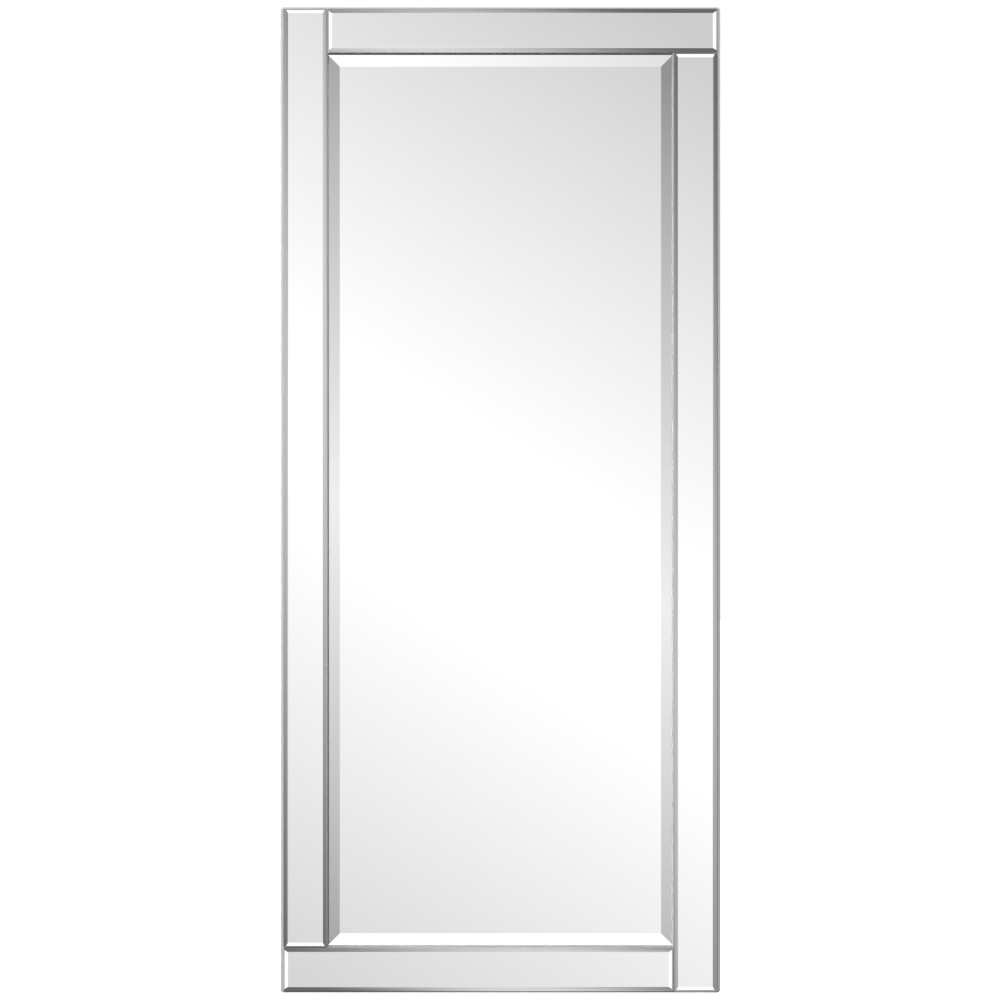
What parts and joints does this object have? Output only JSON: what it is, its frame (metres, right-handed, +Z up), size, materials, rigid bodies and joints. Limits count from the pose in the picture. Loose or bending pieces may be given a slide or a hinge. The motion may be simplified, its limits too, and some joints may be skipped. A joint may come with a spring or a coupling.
{
  "type": "bevelled wall mirror",
  "caption": "Tall rectangular wall mirror: a wide-bevelled centre pane in a wooden frame faced with bevelled mirror strips in a pinwheel, with ring hangers behind.",
  "frame": {"origin": "the mirror's centre on the wall plane that its four bumpers rest on", "axes": "+Z up; the mirror looks along -Y, so +Y points into the wall; +X to the right seen from the front"},
  "size_m": [0.612, 0.0364, 1.3716],
  "materials": {
    "silvered_glass": "polished",
    "painted_wood": "satin silver paint",
    "fibreboard": "smooth pressed",
    "zinc_steel": "bright zinc plate",
    "rubber": "matte",
    "foam": "closed-cell foam",
    "mounting_tape": "foam tape"
  },
  "bodies": {
    "mirror": {"backing_board": "fibreboard", "backing_points": "zinc_steel", "bottom_mirror_strip": "silvered_glass", "bottom_rail": "painted_wood", "bottom_strip_tape": "mounting_tape", "centre_mirror": "silvered_glass", "corner_nails": "zinc_steel", "foam_strips": "foam", "hanger_screws": "zinc_steel", "left_hanger_strap": "zinc_steel", "left_mirror_strip": "silvered_glass", "left_stile": "painted_wood", "left_strip_tape": "mounting_tape", "right_hanger_strap": "zinc_steel", "right_mirror_strip": "silvered_glass", "right_stile": "painted_wood", "right_strip_tape": "mounting_tape", "setting_blocks": "rubber", "side_spacers": "rubber", "top_mirror_strip": "silvered_glass", "top_rail": "painted_wood", "top_strip_tape": "mounting_tape", "wall_bumpers": "rubber"},
    "left_ring": {"left_hanger_ring": "zinc_steel"},
    "right_ring": {"right_hanger_ring": "zinc_steel"}
  },
  "joints": [
    {"name": "left_ring_turn", "type": "hinge", "parent": "mirror", "child": "left_ring", "pos_m": [-0.2845, -0.0036, 0.3858], "axis": [-1, 0, 0], "range_deg": [0, 170]},
    {"name": "right_ring_turn", "type": "hinge", "parent": "mirror", "child": "right_ring", "pos_m": [0.2845, -0.0036, 0.3858], "axis": [-1, 0, 0], "range_deg": [0, 170]}
  ]
}
